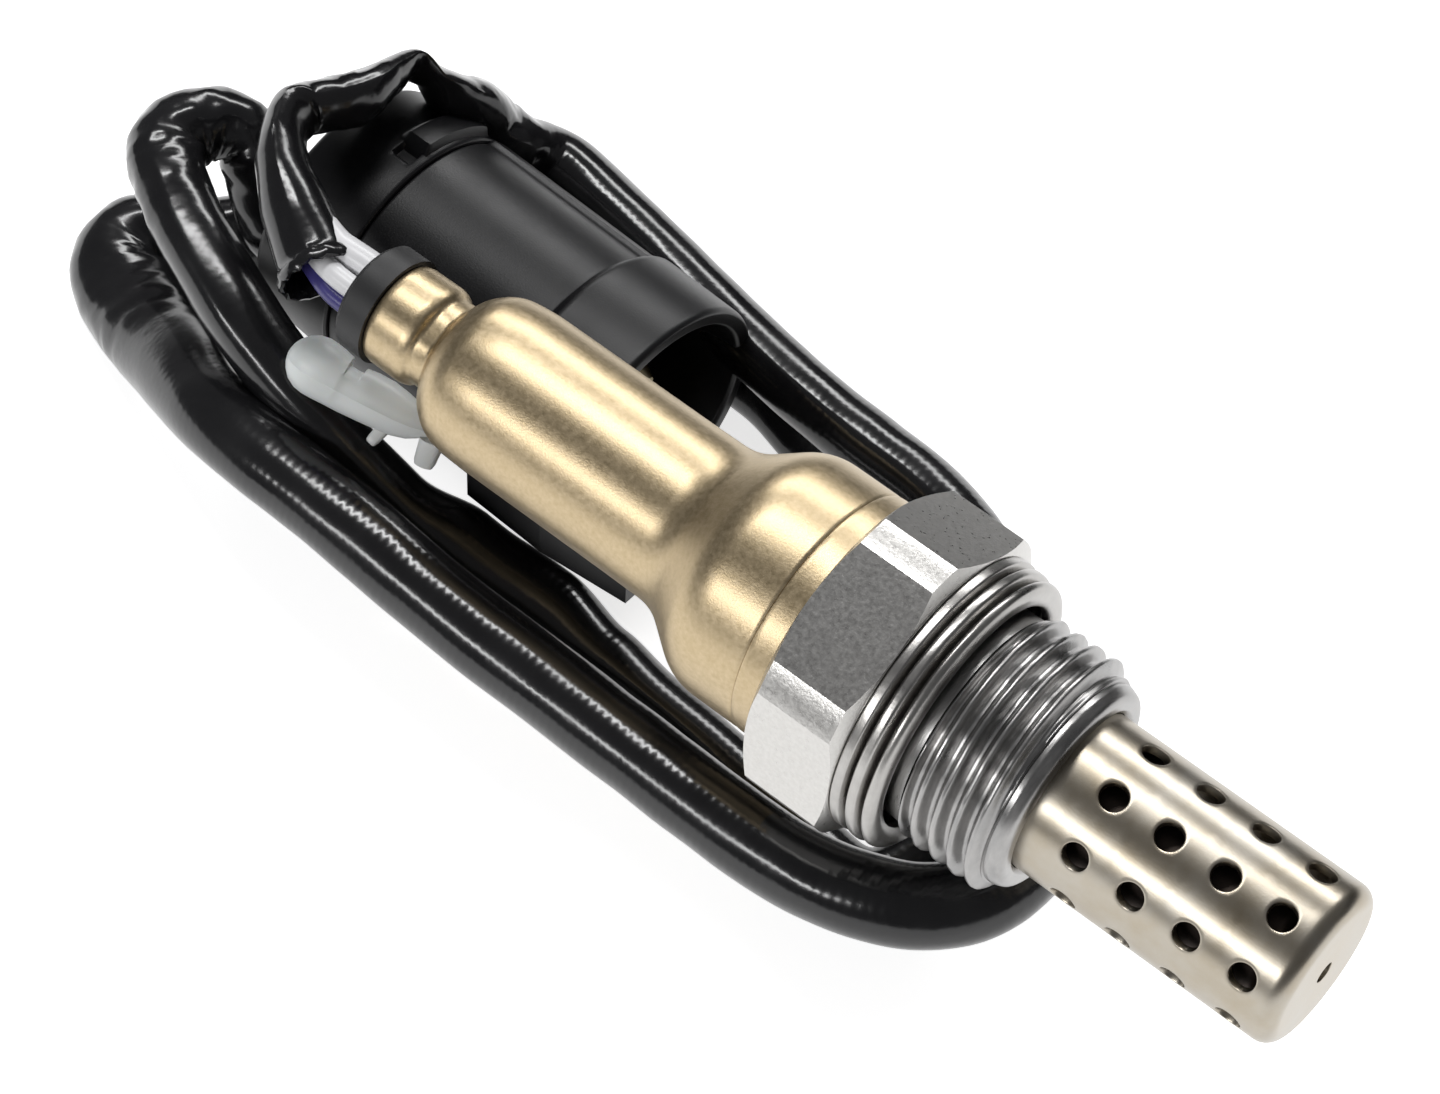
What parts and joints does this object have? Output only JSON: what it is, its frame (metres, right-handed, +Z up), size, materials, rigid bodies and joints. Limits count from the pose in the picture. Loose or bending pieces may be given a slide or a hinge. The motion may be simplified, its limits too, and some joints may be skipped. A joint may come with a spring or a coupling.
{
  "type": "oxygen sensor",
  "caption": "Screw-in oxygen sensor with perforated protection tube, hexagon, crush gasket, flared metal sleeve and a folded sleeved harness ending in a round plug housing.",
  "frame": {"origin": "on the sensor's axis where the full thread starts, in front of the gasket", "axes": "+X along the sensor's axis towards the tip of the protection tube, +Z up, with the folded harness and the plug housing on the floor below"},
  "size_m": [0.1173, 0.0436, 0.0376],
  "materials": {
    "shell_steel": "bright turned steel with satin flats",
    "gasket_steel": "bright folded sheet",
    "tube_steel": "satin drawn sheet",
    "zirconia": "matte white fired ceramic",
    "alumina": "matte fired ceramic",
    "talc": "pressed powder",
    "spring_steel": "plain spring steel",
    "brass_tone": "satin champagne",
    "contact_steel": "plated strip",
    "black_rubber": "matte",
    "white_lead": "smooth insulation",
    "black_lead": "smooth insulation",
    "violet_lead": "smooth insulation",
    "black_vinyl": "glossy crinkled sleeve",
    "black_plastic": "fine matte moulding",
    "seal_rubber": "matte",
    "terminal_brass": "plated",
    "grey_plastic": "translucent grey moulding"
  },
  "bodies": {
    "root": {"threaded_shell": "shell_steel", "gasket_ring": "gasket_steel", "outer_protection_tube": "tube_steel", "inner_protection_tube": "tube_steel", "sensing_element": "zirconia", "seat_washer": "spring_steel", "talc_seal": "talc", "ceramic_bush": "alumina", "spring_ring": "spring_steel", "heater_rod": "alumina", "upper_sleeve": "brass_tone", "contact_holder": "alumina", "contact_white_one": "contact_steel", "contact_white_two": "contact_steel", "contact_black": "contact_steel", "contact_violet": "contact_steel", "wire_grommet": "black_rubber", "lead_white_one": "white_lead", "lead_white_two": "white_lead", "lead_black": "black_lead", "lead_violet": "violet_lead", "protective_sleeve": "black_vinyl", "connector_housing": "black_plastic", "connector_cap": "black_plastic", "connector_seal": "seal_rubber", "connector_core": "black_plastic", "terminal_1": "terminal_brass", "terminal_2": "terminal_brass", "terminal_3": "terminal_brass", "terminal_4": "terminal_brass", "lock_arm": "black_plastic", "harness_clip": "grey_plastic"}
  },
  "joints": []
}
